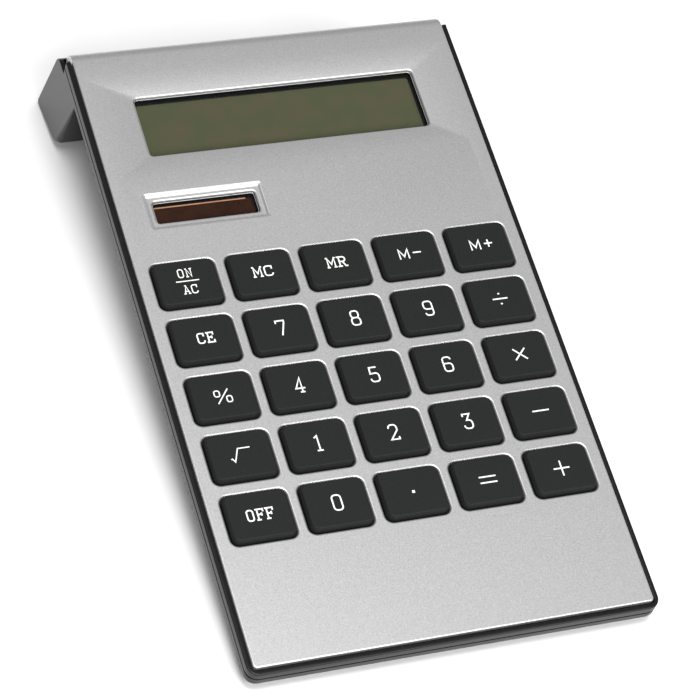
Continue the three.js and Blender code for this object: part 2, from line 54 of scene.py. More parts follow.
# %% [markdown]
# ## The slab's own axes
# The calculator is a flat slab that its foot tips up. It is drawn most easily lying flat: x across the
# keys, y towards the display, z out of the plate, in millimetres, with zero on the plate's top at the
# middle key. The tilt could be typed in, but the frame already holds it: every key slides straight down
# through the plate, so the way it slides, turned round, is the plate's normal.

# %% Slab axes and the two ways between slab and part
KEY_HEIGHT = 1.3       # how far a key stands out of the plate
press = next(joint for joint in frame["joints"] if joint["name"] == "key_5_press")
NORMAL = -np.array(press["axis"])
ACROSS = np.array([1.0, 0.0, 0.0])
AXES = np.array([ACROSS, np.cross(NORMAL, ACROSS), NORMAL])


def node_points(name):
    """A CAD node's vertices in metres, as rows of x, y and z."""
    vertices = frame["nodes"][name].data.vertices
    points = np.empty(len(vertices) * 3)
    vertices.foreach_get("co", points)
    return points.reshape(-1, 3)


middle_key = node_points("key_5") / MM @ AXES.T
low, high = middle_key.min(0), middle_key.max(0)
ORIGIN = np.array([(low[0] + high[0]) / 2, (low[1] + high[1]) / 2, high[2] - KEY_HEIGHT])


def slab_box(name):
    """The lowest and highest corner of a CAD node in slab millimetres."""
    points = node_points(name) / MM @ AXES.T - ORIGIN
    return points.min(0), points.max(0)


def in_part(points):
    """Slab millimetres to part metres: shift to the middle key, turn by the slab's axes, scale."""
    return (np.asarray(points, float) + ORIGIN) @ AXES * MM


tilt = math.degrees(math.asin(press["axis"][1]))
print(f"the slab rises {tilt:.2f} degrees towards its display")

# %% [markdown]
# ## Surfaces from arrays
# Every new shell is made of patches: a grid of points that a formula gives, a lid on a ring, or a level
# sheet with holes in it. They could be Blender primitives that are cut and bevelled, but then each edge
# would be only as good as the cut. As arrays, a lip or a moulding is a short profile that runs round an
# outline, and neighbouring patches share their edge points, so merging them closes the shell.

# %% Profiles and outlines
SMALLEST_CORNER = 0.05


def arc(centre, radius, start, end, steps=5):
    """A round stretch of a profile, from start to end in degrees.

    Each point is the centre plus the radius times the angle's cosine and sine."""
    angle = np.radians(np.linspace(start, end, steps + 1))
    return np.stack([centre[0] + radius * np.cos(angle), centre[1] + radius * np.sin(angle)], axis=-1)


def profile(*stretches):
    """One profile from single points and arcs, end to end."""
    return np.concatenate([np.atleast_2d(stretch) for stretch in stretches])


def rings(levels, centre=(0, 0), turns=6):
    """Rounded rectangles over each other, one for each (width, depth, corner, height) row of levels.

    A corner is the middle of its quarter circle plus the corner radius times cosine and sine."""
    width, depth, corner, height = np.asarray(levels, float).T[:, :, None]
    quarter = np.repeat(np.arange(4), turns + 1)
    angle = (quarter + np.tile(np.linspace(0, 1, turns + 1), 4)) * np.pi / 2
    side = np.where((quarter == 0) | (quarter == 3), 1, -1)
    end = np.where(quarter < 2, 1, -1)
    x = side * (width / 2 - corner) + corner * np.cos(angle)
    y = end * (depth / 2 - corner) + corner * np.sin(angle)
    middle = np.broadcast_to(np.asarray(centre, float), (len(x), 2))[:, :, None]
    return np.stack([x + middle[:, 0], y + middle[:, 1], np.broadcast_to(height, x.shape)], axis=-1)


def moulded(size, corner, section):
    """Levels for rings: each (inset, height) of the section shrinks the rectangle all round.

    The width and the depth lose two insets, and the corner radius loses one."""
    inset, height = np.asarray(section, float).T
    radius = np.maximum(corner - inset, SMALLEST_CORNER)
    return np.stack([size[0] - 2 * inset, size[1] - 2 * inset, radius, height], axis=-1)


# %% [markdown]
# ## Patches
# A solid of patches has to close without a gap. Blender could fill the gaps by itself, but it would choose
# the faces for us. So a grid gives quads between its rows, a lid closes a ring, and a level sheet is
# triangulated between outlines that are already there, with no new points of its own.

# %% Patches
def sheet(points, around=False, smooth=True):
    """Quads between the rows and columns of a grid; around joins the last column to the first."""
    rows, columns = points.shape[:2]
    index = np.arange(rows * columns).reshape(rows, columns)
    if around:
        index = np.hstack([index, index[:, :1]])
    quads = np.stack([index[:-1, :-1], index[:-1, 1:], index[1:, 1:], index[1:, :-1]], axis=-1)
    return {"points": points.reshape(-1, 3), "faces": quads.reshape(-1, 4), "smooth": smooth}


def lid(ring):
    """One flat face over a ring of points."""
    return {"points": ring, "faces": np.arange(len(ring))[None, :], "smooth": False}


def level_sheet(outlines):
    """Triangles of a level sheet inside the first outline, with the other outlines cut out of it.

    The holes are convex, so a triangle with all its corners on one hole's outline lies in that hole."""
    points = np.concatenate(outlines)
    owner = np.repeat(np.arange(len(outlines)), [len(outline) for outline in outlines])
    starts = np.searchsorted(owner, owner)
    following = np.arange(len(points)) + 1
    closes = np.append(owner[1:] != owner[:-1], True)
    following[closes] = starts[closes]
    edges = np.stack([np.arange(len(points)), following], axis=-1).tolist()
    found = delaunay_2d_cdt([Vector(point[:2]) for point in points], edges, [], 1, 1e-7)
    source = np.array([original[0] for original in found[3]])
    faces = source[np.array(found[2])]
    in_hole = (owner[faces].min(1) == owner[faces].max(1)) & (owner[faces[:, 0]] > 0)
    return {"points": points, "faces": faces[~in_hole], "smooth": False}


def closed_box(levels, centre=(0, 0), turns=6):
    """The patches of a closed stack of rings, with a lid at each end."""
    stack = rings(levels, centre, turns)
    return [sheet(stack, around=True), lid(stack[0]), lid(stack[-1])]


# %% One mesh from patches
MERGE = 0.002          # points closer than this, in millimetres, are one point
SLIVER = 0.001         # edges shorter than this, in millimetres, are dropped


def shell(name, patches, crease=35):
    """A mesh object from patches in slab millimetres.

    The points are placed in the part, doubles are merged, faces turned outwards, and edges sharper than
    the crease angle, in degrees, are marked so that shading stops at them."""
    starts = np.cumsum([0] + [len(patch["points"]) for patch in patches[:-1]])
    points = in_part(np.concatenate([patch["points"] for patch in patches]))
    faces = [face for start, patch in zip(starts, patches) for face in (patch["faces"] + start).tolist()]
    smooth = np.concatenate([np.full(len(patch["faces"]), patch["smooth"]) for patch in patches])
    mesh = bpy.data.meshes.new(name)
    mesh.from_pydata(points.tolist(), [], faces)
    mesh.polygons.foreach_set("use_smooth", smooth)
    work = bmesh.new()
    work.from_mesh(mesh)
    bmesh.ops.remove_doubles(work, verts=work.verts, dist=MERGE * MM)
    bmesh.ops.dissolve_degenerate(work, edges=work.edges, dist=SLIVER * MM)
    bmesh.ops.recalc_face_normals(work, faces=work.faces)
    open_edges = sum(not edge.is_manifold for edge in work.edges)
    work.to_mesh(mesh)
    work.free()
    mesh.set_sharp_from_angle(angle=math.radians(crease))
    piece = bpy.data.objects.new(name, mesh)
    bpy.context.scene.collection.objects.link(piece)
    print(f"{name}: {len(mesh.polygons)} faces, {open_edges} open edges")
    return piece


def fit(piece, material, body="case", stands_for=()):
    """Gives a piece its material, and the CAD body that it rides on and nodes it stands for."""
    piece.data.materials.clear()
    piece.data.materials.append(material)
    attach(piece, body)
    if stands_for:
        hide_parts(*stands_for)


# %% [markdown]
# ## Nodes and colours
# Colours are picked the way a screen shows them, as hex numbers, and Blender's shaders want linear light,
# so one function turns one into the other. One more adds a node with its settings and links.

# %% Colour and node helpers
def linear(code):
    """An sRGB hex colour as linear red, green, blue and alpha, by the standard curve."""
    value = np.array([int(code[k:k + 2], 16) for k in (1, 3, 5)]) / 255
    light = np.where(value <= 0.04045, value / 12.92, ((value + 0.055) / 1.055) ** 2.4)
    return (*light.tolist(), 1.0)


def add_node(tree, kind, inputs=None, **settings):
    """Adds a node: settings are its properties, and each input is a value or the output that feeds it."""
    made = tree.nodes.new(kind)
    for name, value in settings.items():
        setattr(made, name, value)
    for name, value in (inputs or {}).items():
        if isinstance(value, bpy.types.NodeSocket):
            tree.links.new(value, made.inputs[name])
        else:
            made.inputs[name].default_value = value
    return made


# %% [markdown]
# ## One recipe for a skin
# No plastic is one flat colour: the pigment drifts a little, and the mould, the spray gun or the roller
# leaves a fine grain that breaks up the highlights. Both could be painted as pictures. Here they are noise
# on Object coordinates, so that each has a real size and stays with its piece when the piece moves.

# %% Drift of colour, grain of the skin
def per_metre(millimetres):
    """The scale of a noise whose features are this many millimetres apart, on coordinates in metres."""
    return 1 / (millimetres * MM)


def mottled(tree, place, size, first, second, detail, sharpness):
    """A colour that wanders between two others: noise of the given size in millimetres, through a ramp.

    The ramp runs over the middle of the noise: sharpness 0 uses it all, and 1 makes two flat colours."""
    noise = add_node(tree, "ShaderNodeTexNoise",
                     {"Vector": place, "Scale": per_metre(size), "Detail": detail})
    ramp = add_node(tree, "ShaderNodeValToRGB", {"Fac": noise.outputs["Fac"]})
    ramp.color_ramp.elements[0].position = 0.5 * sharpness
    ramp.color_ramp.elements[1].position = 1 - 0.5 * sharpness
    ramp.color_ramp.elements[0].color = linear(first)
    ramp.color_ramp.elements[1].color = linear(second)
    return ramp.outputs["Color"]


def roughened(tree, shader, place, size, depth, low, high):
    """A moulded or sprayed skin: noise of one size drives the roughness from low to high and a bump."""
    noise = add_node(tree, "ShaderNodeTexNoise",
                     {"Vector": place, "Scale": per_metre(size), "Detail": 3.0})
    spread = add_node(tree, "ShaderNodeMapRange",
                      {"Value": noise.outputs["Fac"], "From Min": 0.3, "From Max": 0.7,
                       "To Min": low, "To Max": high})
    tree.links.new(spread.outputs["Result"], shader.inputs["Roughness"])
    bump = add_node(tree, "ShaderNodeBump",
                    {"Height": noise.outputs["Fac"], "Distance": depth * MM, "Strength": 1.0})
    tree.links.new(bump.outputs["Normal"], shader.inputs["Normal"])


def finish(name, colours, drift, grain, depth, dull, detail=2.0, sharpness=0.5, **constants):
    """A material: two colours that drift every so many millimetres, under a grained skin.

    Drift, grain and depth are the sizes of the colour's patches, of the skin's grain and of its bumps in
    millimetres. Dull is the lowest and highest roughness. Constants go on the shader's own sockets."""
    material = bpy.data.materials.new(name)
    material.use_nodes = True
    tree = material.node_tree
    shader = tree.nodes["Principled BSDF"]
    for socket, value in constants.items():
        shader.inputs[socket.replace("_", " ")].default_value = value
    place = add_node(tree, "ShaderNodeTexCoord").outputs["Object"]
    colour = mottled(tree, place, drift, *colours, detail, sharpness)
    tree.links.new(colour, shader.inputs["Base Color"])
    roughened(tree, shader, place, grain, depth, *dull)
    print(f"{name}: colour drifts over {drift} mm, grain {grain} mm")
    return material


FINISHES = {}

# %% [markdown]
# ## Silver metallic lacquer
# The plate is ABS sprayed with a lacquer full of aluminium flake, under no clear coat: a soft wide sheen
# with a fine sparkle. A full metal would mirror the room too darkly between the lights, so it is mostly
# metal, with a light grey body that keeps the plate even. Real flakes are about 0.03 mm; they are drawn
# 0.28 mm apart, the finest grain that still shows.

# %% Silver metallic lacquer: ABS sprayed with aluminium flake
FINISHES["silver_paint"] = finish("silver metallic lacquer", ("#C0C0C0", "#DCDCDC"), 0.28, 0.35, 0.0012,
                                  (0.36, 0.43), detail=3.0, sharpness=0.55, Metallic=0.8)

# %% [markdown]
# ## The black plastics
# Case, keys and holder are all ABS, and only their moulds differ. The case comes from a mould with a light
# spark-eroded texture, which leaves it satin. The keys' mould is coarser and their plastic greyer, so they
# hardly reflect. The holder behind the openings comes from a polished mould, so it is glossy.

# %% Black ABS: moulded with a fine spark-eroded texture, satin with greyish highlights
FINISHES["black_abs"] = finish("moulded black ABS", ("#0E0F0F", "#141515"), 1.5, 0.3, 0.0012,
                               (0.28, 0.36), IOR=1.46, Specular_IOR_Level=0.35)

# %% Charcoal ABS: matt keys, with a dry even grain that hardly reflects
FINISHES["key_plastic"] = finish("matt charcoal ABS", ("#181919", "#1F2020"), 0.4, 0.25, 0.002,
                                 (0.55, 0.66), detail=3.0, IOR=1.3, Specular_IOR_Level=0.4)

# %% Polished black ABS: the holder, dark with a thin bright edge
GLOSS_BLACK = finish("polished black ABS", ("#0C0C0D", "#111112"), 1.0, 0.8, 0.0004, (0.16, 0.24), IOR=1.5)

# %% [markdown]
# ## Ink, windows and what lies behind them
# The legends are a thin opaque ink. The windows are polished acrylic, so clear that only their gloss shows,
# which is what a very low alpha gives without the noise of real refraction. The display is off: all that
# shows is the grey-green film behind the glass. The solar cell is a brown film with a copper line on it.
# Both lie under a window that already shines, so their own gloss is turned down.

# %% White pad-printing ink: a thin opaque film with a slightly uneven sheen
INK = finish("white pad-printing ink", ("#E9E9E6", "#F4F4F1"), 0.5, 0.4, 0.0005, (0.42, 0.55))

# %% Clear acrylic: a thin polished sheet, nearly unseen but for a faint gloss
FINISHES["clear_acrylic"] = finish("clear polished acrylic", ("#454A48", "#4E5351"), 3.0, 6.0, 0.0004,
                                   (0.03, 0.06), IOR=1.49, Alpha=0.02)

# %% Unlit liquid crystal glass: a grey-green reflective film behind a polariser, faintly clouded
FINISHES["lcd_glass"] = finish("reflective LCD glass", ("#434A33", "#4E4A38"), 5.0, 0.3, 0.0006,
                               (0.55, 0.65), IOR=1.3, Specular_IOR_Level=0.25)

# %% Amorphous silicon: a dark brown film under glass, with a faint reddish drift
FINISHES["solar_film"] = finish("amorphous silicon film", ("#28160D", "#311C12"), 4.0, 2.0, 0.0005,
                                (0.25, 0.32), IOR=1.25, Specular_IOR_Level=0.2)

# %% Copper bus bar: a printed conductor, warm and slightly dull
COPPER = finish("printed copper", ("#D79A72", "#EAB48C"), 0.8, 0.3, 0.001, (0.35, 0.5), Metallic=0.6)

# %% [markdown]
# ## The small parts
# Inside and underneath are the things that every such calculator has. They are seldom seen, but the battery
# door comes off and the case can be turned over, so each gets the finish of its own making.

# %% Board, chip, mat and pads
# Glass-epoxy laminate: green solder mask over a woven board, satin.
FINISHES["board_laminate"] = finish("green solder mask on laminate", ("#245A39", "#2F6B45"), 2.5, 0.5,
                                    0.004, (0.35, 0.5), IOR=1.5)
# Black epoxy: a cast drop, smooth and slightly wavy.
FINISHES["chip_epoxy"] = finish("cast black epoxy", ("#101010", "#191919"), 1.5, 1.2, 0.01,
                                (0.25, 0.4), IOR=1.5)
# Silicone rubber: soft and grey, with a dusty bloom.
FINISHES["grey_silicone"] = finish("moulded grey silicone", ("#828485", "#97999A"), 2.0, 0.3, 0.003,
                                   (0.6, 0.75), IOR=1.42)
# Sheet rubber: black and die-cut, dry and fine-grained.
FINISHES["foot_rubber"] = finish("die-cut black rubber", ("#171717", "#232323"), 0.8, 0.25, 0.01,
                                 (0.75, 0.9), IOR=1.5)

# %% Metals and wires
# Zinc-plated steel: bright with a faint cloudiness.
FINISHES["steel"] = finish("zinc-plated steel", ("#A9ABAE", "#C3C5C8"), 1.0, 0.2, 0.002,
                           (0.25, 0.4), Metallic=1.0)
# Nickel strip: rolled spring sheet, warmer than steel.
FINISHES["nickel_strip"] = finish("rolled nickel strip", ("#BDBAB0", "#CFCCC3"), 1.2, 0.15, 0.002,
                                  (0.2, 0.35), Metallic=1.0)
# Wire insulation: extruded PVC, smooth and satin.
FINISHES["red_insulation"] = finish("red PVC insulation", ("#93201A", "#A92B23"), 1.5, 0.4, 0.001,
                                    (0.35, 0.5), IOR=1.53)
FINISHES["black_insulation"] = finish("black PVC insulation", ("#121212", "#1B1B1B"), 1.5, 0.4, 0.001,
                                      (0.35, 0.5), IOR=1.53)

# %% [markdown]
# ## Dress the frame
# Pieces whose CAD shape is already right, such as screws, pads and the board, keep it and only change
# clothes. Each names its material slot in the record, so one loop finds every finish.

# %% Dress the CAD nodes that keep their own meshes
slot_of = {part["node"]: part["material_slot"] for part in frame["record"]["subparts"]}
for node, slot_name in slot_of.items():
    dressed = frame["nodes"][node].data
    dressed.materials.clear()
    dressed.materials.append(FINISHES[slot_name])
print(len(slot_of), "CAD nodes dressed")

# %% [markdown]
# ## The face plate
# On the real object this is one ABS moulding, sprayed silver: flat, with a soft lip round each key hole, a
# shallow mitred recess for the display, a sunken surround for the solar window, and a rear edge that rolls
# down out of sight. It could be cut out of a block with Booleans, but the lips are what the light picks
# out, so each hole is a profile carried round its outline, and level sheets fill in between.

# %% Plate dimensions
PLATE_LOW, PLATE_HIGH = slab_box("face_plate")
PLATE_HALF = PLATE_HIGH[0]
PLATE_FRONT = PLATE_LOW[1]
PLATE_CORNER = 1.0
PLATE_THICK = 1.4
PLATE_EDGE = 0.35      # rounding of the outer edge
HOLE_LIP = 0.5         # rounding at the key holes
OPENING_LIP = 0.45     # rounding at the display and the solar opening
LAND = 0.08            # a narrow flat kept beside each rounding, so that its shading ends there
ROLL_RADIUS = 4.2
ROLL_START = PLATE_HIGH[1] - ROLL_RADIUS
FLAT_END = ROLL_START - 5     # the level part ends here, a little before the roll
PITCH = np.array([19.4, 16.5])
HOLE = np.array([16.8, 13.5])
HOLE_CORNER = 2.0
print("plate", np.round(PLATE_LOW, 2), np.round(PLATE_HIGH, 2))

# %% Holes with their lips
lip = profile((-HOLE_LIP - LAND, 0), arc((-HOLE_LIP, -HOLE_LIP), HOLE_LIP, 90, 0), (0, -PLATE_THICK))
columns, rows = np.meshgrid(np.arange(-2, 3), np.arange(2, -3, -1))
key_centres = np.stack([columns.ravel() * PITCH[0], rows.ravel() * PITCH[1]], axis=-1)
hole_levels = moulded(HOLE, HOLE_CORNER, lip)
key_holes = [rings(hole_levels, centre) for centre in key_centres]
print(len(key_holes), "key holes, walls left between them", PITCH - HOLE, "mm")

# %% [markdown]
# ## The display recess
# Four flat facets slope from a sharp outer line to the display, and meet in mitres at its corners. They are
# two rings with quads between them, left unsmoothed so that each facet keeps its own tone.

# %% Display recess: four facets that slope to the opening
RECESS_X = (-46.6, 46.6)
RECESS_Y = (66.2, 95.15)
RECESS_DEPTH = 0.55
RECESS_CORNER = 0.1
DISPLAY_X = (-38.0, 38.0)
DISPLAY_Y = (72.0, 90.0)
DISPLAY_CORNER = 1.2
recess_size = np.array([np.ptp(RECESS_X), np.ptp(RECESS_Y)])
display_size = np.array([np.ptp(DISPLAY_X), np.ptp(DISPLAY_Y)])
recess_centre = (np.mean(RECESS_X), np.mean(RECESS_Y))
display_centre = (np.mean(DISPLAY_X), np.mean(DISPLAY_Y))
facet_foot_size = display_size + 2 * OPENING_LIP
facets = rings([(*recess_size, RECESS_CORNER, 0),
                (*facet_foot_size, DISPLAY_CORNER + OPENING_LIP, -RECESS_DEPTH)],
               [recess_centre, display_centre])
display_lip = profile((-OPENING_LIP, -RECESS_DEPTH),
                      arc((-OPENING_LIP, -RECESS_DEPTH - OPENING_LIP), OPENING_LIP, 90, 0),
                      (0, -PLATE_THICK))
display_wall = rings(moulded(display_size, DISPLAY_CORNER, display_lip), display_centre)
print("display opening", display_size, "mm in a recess of", recess_size, "mm")

# %% [markdown]
# ## The solar surround
# The small window sits in a sunken tray: a fine edge, a narrow step, and a wall that curves into a flat
# floor. That curve is what catches the light as a bright line at the rear, so it is an arc of the profile
# and not a chamfer.

# %% Solar surround: an edge, a wall that curves into a flat floor, and the opening's lip
SOLAR_CENTRE = (-27.7, 55.2)
SOLAR_TRAY = np.array([31.3, 10.85])
SOLAR_OPENING = np.array([27.2, 6.6])
SOLAR_CORNER = 1.0
TRAY_CORNER = 0.8
TRAY_DEPTH = 0.7
TRAY_EDGE = 0.14       # rounding of the tray's outer edge
TRAY_STEP = (0.5, -0.18)
TRAY_CURVE = 0.4       # radius where the wall meets the floor
TRAY_WALL = 1.1        # how far in the wall ends
tray_section = profile((-LAND, 0), arc((0, -TRAY_EDGE), TRAY_EDGE, 90, 15, 3), TRAY_STEP,
                       arc((TRAY_WALL, -TRAY_DEPTH + TRAY_CURVE), TRAY_CURVE, 225, 270, 4))
tray = rings(moulded(SOLAR_TRAY, TRAY_CORNER, tray_section), SOLAR_CENTRE)
solar_lip = profile((-OPENING_LIP - LAND, -TRAY_DEPTH),
                    arc((-OPENING_LIP, -TRAY_DEPTH - OPENING_LIP), OPENING_LIP, 90, 0), (0, -PLATE_THICK))
solar_wall = rings(moulded(SOLAR_OPENING, SOLAR_CORNER, solar_lip), SOLAR_CENTRE)
print("solar opening", SOLAR_OPENING, "mm in a tray of", SOLAR_TRAY, "mm")

# %% [markdown]
# ## The plate's edge and its rolled rear
# The plate's edge is rounded along both sides and the front, and at the rear the sheet bends down over the
# case. Bending a finished mesh would also bend the recess, so the plate is two parts that share their edge
# points: a level part with its edge on a U, and the sheet's cross-section carried over a quarter circle.

# %% The outer edge, a profile that follows a U from the rear right round the front to the rear left
def u_path(half, front, rear, corner, section, turns=8):
    """Points (section row, place along the U): down one side, round two corners and up the other.

    Each (inset, height) of the section moves the U inwards. A corner is the middle of its quarter circle
    plus its radius, which corner gives for each inset, times cosine and sine."""
    inset, height = np.asarray(section, float).T[:, :, None]
    radius = np.broadcast_to(np.asarray(corner, float).reshape(-1, 1), inset.shape)
    angle = np.radians(np.linspace(0, -90, turns + 1))
    corner_x = half - inset - radius
    right_x = corner_x + radius * np.cos(angle)
    arc_y = front + inset + radius + radius * np.sin(angle)
    ones = np.ones_like(inset)
    x = np.hstack([(half - inset) * ones, right_x, -right_x[:, ::-1], -(half - inset) * ones])
    y = np.hstack([rear * ones, arc_y, arc_y[:, ::-1], rear * ones])
    return np.stack([x, y, np.broadcast_to(height, x.shape)], axis=-1)


edge_section = profile((PLATE_EDGE + LAND, 0), arc((PLATE_EDGE, -PLATE_EDGE), PLATE_EDGE, 90, 180),
                       (0, -PLATE_THICK))
edge_corner = np.maximum(PLATE_CORNER - edge_section[:, 0], SMALLEST_CORNER)
plate_edge = u_path(PLATE_HALF, PLATE_FRONT, FLAT_END, edge_corner, edge_section)
print("plate edge:", len(edge_section), "points round, at", plate_edge.shape[1], "places along the U")

# %% The rolled rear: the sheet's own cross-section carried over the roll and down the skirt
roll_angle = np.radians(np.linspace(0, 90, 13))
roll_y = np.concatenate([[FLAT_END], ROLL_START + ROLL_RADIUS * np.sin(roll_angle), [PLATE_HIGH[1]]])
roll_z = np.concatenate([[0], -ROLL_RADIUS + ROLL_RADIUS * np.cos(roll_angle), [PLATE_LOW[2]]])
out_y = np.concatenate([[0], np.sin(roll_angle), [1]])
out_z = np.concatenate([[1], np.cos(roll_angle), [0]])
loop_x = np.concatenate([PLATE_HALF - edge_section[:, 0], -(PLATE_HALF - edge_section[::-1, 0])])
loop_depth = -np.concatenate([edge_section[:, 1], edge_section[::-1, 1]])
roll = np.stack([np.broadcast_to(loop_x, (len(roll_y), len(loop_x))),
                 roll_y[:, None] - out_y[:, None] * loop_depth,
                 roll_z[:, None] - out_z[:, None] * loop_depth], axis=-1)
print("roll of radius", ROLL_RADIUS, "mm in", len(roll_angle) - 1, "steps")

# %% Close the plate
top_holes = [hole[0] for hole in key_holes] + [facets[0], tray[0]]
under_holes = [hole[-1] for hole in key_holes] + [display_wall[-1], solar_wall[-1]]
face_plate = shell("silver_face_plate", [
    *[sheet(hole, around=True) for hole in key_holes],
    sheet(facets, around=True, smooth=False), sheet(display_wall, around=True),
    sheet(tray, around=True), level_sheet([tray[-1], solar_wall[0]]), sheet(solar_wall, around=True),
    sheet(plate_edge), sheet(roll, around=True), lid(roll[-1]),
    level_sheet([plate_edge[0], *top_holes]), level_sheet([plate_edge[-1], *under_holes]),
])
fit(face_plate, FINISHES["silver_paint"], stands_for=["face_plate"])

# %% [markdown]
# ## Keys
# Each key is a moulded cap that stands 1.3 mm out of the plate, with a flange below the plate that stops it
# falling out and a stem that presses the rubber dome. A bevelled box would do for the shape, but the cap's
# sides lean in a little and only its rim is rounded, so it is a stack of rounded rectangles whose size,
# corner and height follow a profile.

# %% The key profile
CAP = np.array([16.0, 12.7])
CAP_CORNER = 1.9
CAP_ROUND = 0.34       # rounding of the rim
CAP_LEAN = 0.3         # how far the sides lean in
FLANGE = (17.2, 14.4, 0.8)    # width, depth and corner
STEM = (5, 5, 0.4)
FLANGE_TOP = -1.7
FLANGE_LOW = -2.4
STEM_LOW = -3.2
cap_section = profile((0, FLANGE_TOP), (0, -0.1), (CAP_LEAN * 0.9, KEY_HEIGHT - CAP_ROUND),
                      arc((CAP_LEAN + CAP_ROUND, KEY_HEIGHT - CAP_ROUND), CAP_ROUND, 172, 90, 6),
                      (CAP_LEAN + CAP_ROUND + 0.1, KEY_HEIGHT))
key_levels = np.concatenate([
    [(*STEM, STEM_LOW), (*STEM, FLANGE_LOW), (*FLANGE, FLANGE_LOW), (*FLANGE, FLANGE_TOP)],
    moulded(CAP, CAP_CORNER, cap_section)])
print("key profile of", len(key_levels), "levels, cap", CAP, "mm")

# %% The 25 caps, each where the frame has its key
def node_middle(name):
    """The middle of a CAD node's box, across and along the slab."""
    box_low, box_high = slab_box(name)
    return (box_low[:2] + box_high[:2]) / 2


KEYS = [node for node in frame["nodes"] if node.startswith("key_")]
for key in KEYS:
    cap = shell(key.replace("key", "cap", 1), closed_box(key_levels, node_middle(key)))
    fit(cap, FINISHES["key_plastic"], key, [key])
print(len(KEYS), "keys")

# %% [markdown]
# ## Legends
# The legends are pad-printed in white: plain squarish numerals, and slab-serif capitals for the functions.
# Blender's own font is a different hand, so each sign is drawn as strokes of a pen of one width: a polyline
# with rounded corners, thickened to both sides. The ink is a film a few hundredths of a millimetre thick,
# and each stroke lies a hair higher than the one before, so that crossing strokes don't share a surface.

# %% Strokes to ribbons
def rounded_line(corners, steps=5):
    """A polyline through corners (x, y) or (x, y, radius), with an arc for each radius.

    An arc's middle lies on the corner's bisector, radius / sin(half the corner's angle) away."""
    line = []
    for k, corner in enumerate(corners):
        here = np.array(corner[:2], float)
        if len(corner) == 2:
            line.append(here)
            continue
        before = np.array(corners[k - 1][:2], float) - here
        after = np.array(corners[(k + 1) % len(corners)][:2], float) - here
        before /= np.hypot(*before)
        after /= np.hypot(*after)
        half = np.arccos(np.clip(before @ after, -1, 1)) / 2
        bisector = (before + after) / np.hypot(*(before + after))
        centre = here + bisector * corner[2] / np.sin(half)
        start = here + before * corner[2] / np.tan(half) - centre
        end = here + after * corner[2] / np.tan(half) - centre
        sweep = np.arctan2(start[0] * end[1] - start[1] * end[0], start @ end)
        turn = sweep * np.linspace(0, 1, steps + 1)
        line += list(np.stack([centre[0] + start[0] * np.cos(turn) - start[1] * np.sin(turn),
                               centre[1] + start[0] * np.sin(turn) + start[1] * np.cos(turn)], axis=-1))
    return np.array(line)


def ribbon(line, width, low, high, closed=False):
    """A flat pen stroke: the line pushed half the width to both sides along its mitres, low to high."""
    step = np.diff(np.vstack([line, line[:1]]) if closed else line, axis=0)
    step /= np.hypot(*step.T)[:, None]
    into = np.vstack([step[-1:], step]) if closed else np.vstack([step[:1], step])
    out = np.vstack([step, step[:1]]) if closed else np.vstack([step, step[-1:]])
    into, out = into[:len(line)], out[:len(line)]
    mean = into + out
    mean /= np.hypot(*mean.T)[:, None]
    side = np.stack([-mean[:, 1], mean[:, 0]], axis=-1)
    reach = width / 2 / np.maximum((mean * out).sum(1), 0.5)[:, None]
    left, right = line + side * reach, line - side * reach
    ring = np.stack([left, left, right, right], axis=1)
    height = np.broadcast_to(np.array([low, high, high, low]), ring.shape[:2])[:, :, None]
    points = np.concatenate([ring, height], axis=-1)
    if closed:
        return [sheet(np.concatenate([points, points[:1]]), around=True, smooth=False)]
    return [sheet(points, around=True, smooth=False), lid(points[0]), lid(points[-1])]


